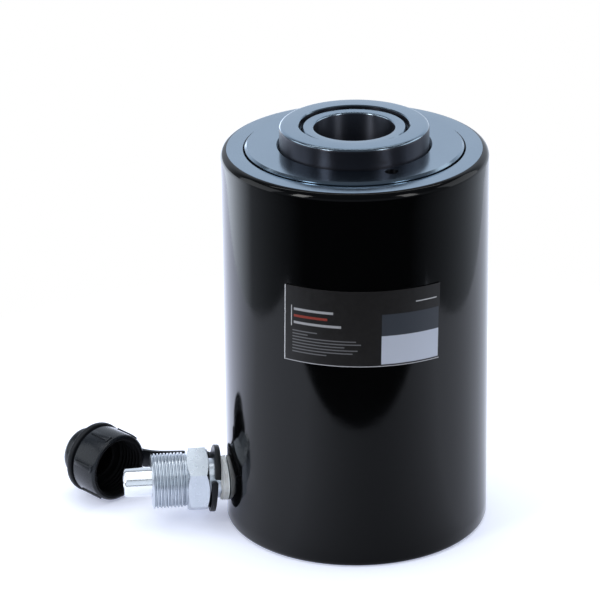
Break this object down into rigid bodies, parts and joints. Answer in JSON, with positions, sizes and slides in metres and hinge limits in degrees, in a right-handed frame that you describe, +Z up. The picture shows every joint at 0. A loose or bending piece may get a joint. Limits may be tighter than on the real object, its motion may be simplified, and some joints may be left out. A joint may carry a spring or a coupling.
{
  "type": "hollow plunger hydraulic cylinder",
  "caption": "Black hollow-plunger hydraulic cylinder, single acting with spring return, with a zinc coupler half and its tethered dust cap.",
  "frame": {"origin": "on the ground, under the middle of the whole outline; the body's axis stands at x = +0.03475 m, y = 0", "axes": "+Z up along the plunger's stroke; -X from the body along the coupler; the dust cap lies on the +Y side of the coupler and the label place faces -Y"},
  "size_m": [0.1835, 0.1144, 0.18],
  "materials": {
    "body_paint": "gloss",
    "label_vinyl": "satin",
    "black_steel": "satin",
    "chromed_steel": "polished",
    "ground_steel": "satin",
    "zinc_plate": "satin",
    "spring_steel": "satin",
    "bronze": "satin",
    "rubber": "matte",
    "polyurethane": "satin",
    "nylon": "matte",
    "thread_seal": "matte",
    "strap_plastic": "satin",
    "cap_plastic": "satin"
  },
  "bodies": {
    "cylinder": {"cylinder_body": "body_paint", "label_plate": "label_vinyl", "gland_nut": "black_steel", "rod_wiper": "rubber", "rod_bearing": "bronze", "centre_tube": "ground_steel", "tube_o_ring": "rubber", "tube_backup_ring": "nylon", "return_spring": "spring_steel", "coupler_body": "zinc_plate", "coupler_probe": "chromed_steel", "probe_seal": "rubber", "check_spring": "spring_steel", "thread_tape": "thread_seal"},
    "plunger": {"plunger": "black_steel", "piston_seal": "polyurethane", "piston_backup_ring": "nylon", "piston_wear_ring": "bronze", "tube_seal": "polyurethane", "tube_wear_ring": "bronze", "saddle": "black_steel"},
    "check_ball": {"check_ball": "chromed_steel"},
    "strap": {"cap_strap": "strap_plastic"},
    "cap": {"dust_cap": "cap_plastic"}
  },
  "joints": [
    {"name": "plunger_stroke", "type": "slide", "parent": "cylinder", "child": "plunger", "axis": [0, 0, 1], "range_m": [0, 0.05], "stiffness_N_per_m": 6000, "springref_m": -0.01, "deforming": ["return_spring"]},
    {"name": "check_lift", "type": "slide", "parent": "cylinder", "child": "check_ball", "axis": [1, 0, 0], "range_m": [0, 0.002], "stiffness_N_per_m": 300, "springref_m": -0.001, "deforming": ["check_spring"]},
    {"name": "strap_swing", "type": "hinge", "parent": "cylinder", "child": "strap", "pos_m": [-0.02835, 0, 0.01855], "axis": [1, 0, 0], "range_deg": [0, 180]},
    {"name": "cap_spin", "type": "hinge", "parent": "strap", "child": "cap", "pos_m": [-0.07797, 0.034, 0.01592], "axis": [0.6156, -0.7879, -0.0175], "continuous": true}
  ]
}
